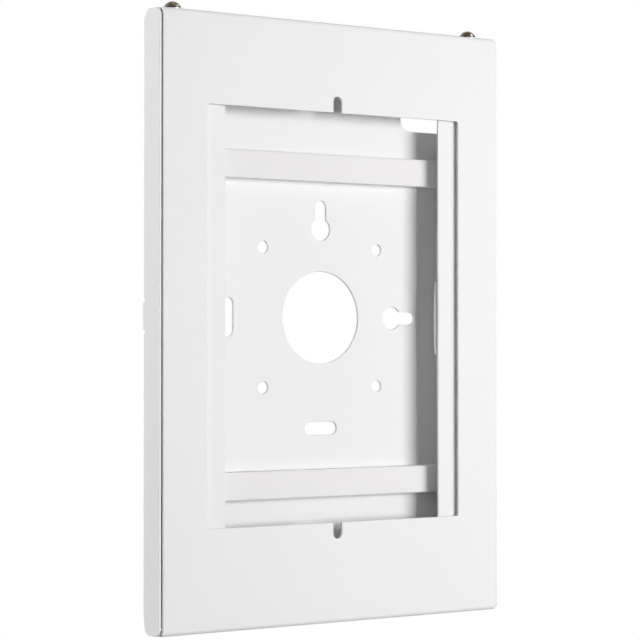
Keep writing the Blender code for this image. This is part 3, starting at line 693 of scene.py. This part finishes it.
def build_world(stage):
    """Even light from all round, and plain white where the camera or a reflection sees past it."""
    world = bpy.data.worlds.new("studio")
    bpy.context.scene.world = world
    world.use_nodes = True
    tree = world.node_tree
    tree.nodes.clear()
    rays = add_node(tree, "ShaderNodeLightPath").outputs
    seen = add_node(tree, "ShaderNodeMath", {0: rays["Is Camera Ray"], 1: rays["Is Glossy Ray"]},
                    operation="MAXIMUM").outputs[0]
    seen = add_node(tree, "ShaderNodeMath", {0: seen, 1: rays["Is Transmission Ray"]},
                    operation="MAXIMUM").outputs[0]
    strength = add_node(tree, "ShaderNodeMapRange", {
        "Value": seen, "To Min": stage.ambient, "To Max": 1.0})
    tone = add_node(tree, "ShaderNodeMixRGB", {
        "Fac": seen, "Color1": (*linear(WARM), 1), "Color2": (1, 1, 1, 1)})
    light = add_node(tree, "ShaderNodeBackground", {
        "Color": tone.outputs["Color"], "Strength": strength.outputs["Result"]})
    add_node(tree, "ShaderNodeOutputWorld", {"Surface": light.outputs[0]})


def aim(obj, place, target):
    obj.location = place
    obj.rotation_euler = (Vector(target) - Vector(place)).to_track_quat("-Z", "Y").to_euler()


def build_light(name, azimuth, elevation, distance, size, power, matt=True, mirrored=True):
    """Soft box at a compass angle from the mount's front, to the right where positive.

    It may be kept from lighting matt surfaces, or out of the reflections.
    """
    light = bpy.data.lights.new(name, "AREA")
    light.shape = "RECTANGLE"
    light.size, light.size_y = size
    light.energy = power
    obj = bpy.data.objects.new(name, light)
    obj.visible_diffuse, obj.visible_glossy = matt, mirrored
    bpy.context.scene.collection.objects.link(obj)
    a, e = radians(azimuth), radians(elevation)
    aim(obj, Vector((sin(a) * cos(e), -cos(a) * cos(e), sin(e))) * distance, (0, 0, 0))


def build_camera(stage):
    """Camera at the photograph's place: to the left of the mount and level with its middle."""
    camera = bpy.data.cameras.new("camera")
    camera.sensor_width = 36
    camera.lens = stage.lens * 1000
    camera.shift_y = CAMERA_SHIFT / RENDER_SIZE
    obj = bpy.data.objects.new("camera", camera)
    bpy.context.scene.collection.objects.link(obj)
    obj.location = CAMERA_PLACE
    obj.rotation_euler = (CAMERA_TILT, 0, CAMERA_TURN)
    bpy.context.scene.camera = obj


class WALLMOUNT_OT_tray(bpy.types.Operator):
    """Dress the folded tray that screws to the wall"""

    bl_idname = "wall_mount.tray"
    bl_label = "Tray"

    def execute(self, context):
        coated_sheet("tray", "rear_tray")
        return {"FINISHED"}


class WALLMOUNT_OT_cover(bpy.types.Operator):
    """Dress the folded cover with its window"""

    bl_idname = "wall_mount.cover"
    bl_label = "Cover"

    def execute(self, context):
        coated_sheet("cover", "front_cover")
        return {"FINISHED"}


class WALLMOUNT_OT_rails(bpy.types.Operator):
    """Dress the two rails that hold the tablet's sides"""

    bl_idname = "wall_mount.rails"
    bl_label = "Side rails"

    def execute(self, context):
        for side in ("left", "right"):
            coated_sheet(side + "_rail", "side_rail_" + side)
        return {"FINISHED"}


class WALLMOUNT_OT_ledge(bpy.types.Operator):
    """Dress the ledge and make the rubber pad that the tablet stands on"""

    bl_idname = "wall_mount.ledge"
    bl_label = "Ledge"

    def execute(self, context):
        coated_sheet("ledge", "tablet_ledge")
        rubber = material_of("grey_rubber", moulded_rubber)
        soft_block("ledge_rubber", "ledge_pad", "rubber", rubber,
                   edge=0.4 * MM, crown=0.05 * MM)
        return {"FINISHED"}


class WALLMOUNT_OT_foam(bpy.types.Operator):
    """Make the foam strips behind the tablet and the pad on the right rail"""

    bl_idname = "wall_mount.foam"
    bl_label = "Foam"

    def execute(self, context):
        foam = material_of("white_foam", cut_foam)
        for end in ("top", "bottom"):
            soft_block("foam_" + end, "foam_strip_" + end, "foam", foam,
                       edge=0.5 * MM, crown=0.15 * MM)
        build_side_pad()
        return {"FINISHED"}


class WALLMOUNT_OT_cover_screws(bpy.types.Operator):
    """Make the security screws, their washers and the press nuts that take them"""

    bl_idname = "wall_mount.cover_screws"
    bl_label = "Cover screws"

    def execute(self, context):
        fasteners = settings()[1]
        zinc = material_of("bright_zinc", bright_zinc)
        for side in ("left", "right"):
            build_cover_screw(side)
            build_ring("washer_" + side, "screw_washer_" + side, "zinc", zinc,
                       fasteners.shank / 2 + 0.3 * MM, 0.12 * MM)
            build_ring("clinch_nut_" + side, "press_nut_" + side, "zinc", zinc,
                       fasteners.shank / 2 + 0.05 * MM, 0.4 * MM)
        return {"FINISHED"}


class WALLMOUNT_OT_studs(bpy.types.Operator):
    """Make the studs and nuts that hold the rails and the ledge"""

    bl_idname = "wall_mount.studs"
    bl_label = "Studs and nuts"

    def execute(self, context):
        zinc = material_of("bright_zinc", bright_zinc)
        studs = sorted(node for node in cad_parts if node.endswith("_stud"))
        for stud in studs:
            label = stud.removesuffix("_stud")
            build_stud("threaded_stud_" + label, stud, zinc)
            build_nut("hex_nut_" + label, label + "_nut", zinc)
        return {"FINISHED"}


class WALLMOUNT_OT_stage(bpy.types.Operator):
    """Set up the floor, the lights, the white surroundings and the camera"""

    bl_idname = "wall_mount.stage"
    bl_label = "Studio"

    def execute(self, context):
        stage = settings()[2]
        build_floor(stage)
        build_world(stage)
        build_light("key", 34, 3.5, 2.0, (1.15, 0.85), stage.key)
        build_light("fill", -100, 20, 1.5, (1.00, 1.00), stage.fill, mirrored=False)
        build_light("front", -30, 15, 2.5, (1.50, 1.50), stage.front)
        build_light("back", 180, 10, 2.5, (0.80, 0.80), stage.back, mirrored=False)
        build_light("glint", 57, 50, 1.8, (0.45, 0.35), stage.glint, matt=False)
        build_camera(stage)
        context.scene.view_settings.view_transform = "Standard"
        return {"FINISHED"}


OPERATORS = (WALLMOUNT_OT_stage, WALLMOUNT_OT_tray, WALLMOUNT_OT_cover, WALLMOUNT_OT_rails,
             WALLMOUNT_OT_ledge, WALLMOUNT_OT_foam, WALLMOUNT_OT_cover_screws, WALLMOUNT_OT_studs)


class WALLMOUNT_PT_sidebar(bpy.types.Panel):
    """Lists the mount's settings and pieces"""

    bl_label = "Wall Mount"
    bl_idname = "WALLMOUNT_PT_sidebar"
    bl_space_type = "VIEW_3D"
    bl_region_type = "UI"
    bl_category = "Wall Mount"

    def draw(self, context):
        for group in settings():
            column = self.layout.column(align=True)
            for name in group.bl_rna.properties.keys():
                if name not in ("rna_type", "name"):
                    column.prop(group, name)
        column = self.layout.column(align=True)
        for operator in OPERATORS:
            column.operator(operator.bl_idname)


GROUPS = {"wall_mount_finish": WallMountFinish, "wall_mount_fasteners": WallMountFasteners,
          "wall_mount_stage": WallMountStage}


def register():
    for cls in (*GROUPS.values(), *OPERATORS, WALLMOUNT_PT_sidebar):
        bpy.utils.register_class(cls)
    for name, group in GROUPS.items():
        setattr(bpy.types.Scene, name, PointerProperty(type=group))


def unregister():
    for name in GROUPS:
        delattr(bpy.types.Scene, name)
    for cls in reversed((*GROUPS.values(), *OPERATORS, WALLMOUNT_PT_sidebar)):
        bpy.utils.unregister_class(cls)


def main():
    register()
    for operator in OPERATORS:
        group, name = operator.bl_idname.split(".")
        getattr(getattr(bpy.ops, group), name)()


if __name__ == "__main__":
    main()
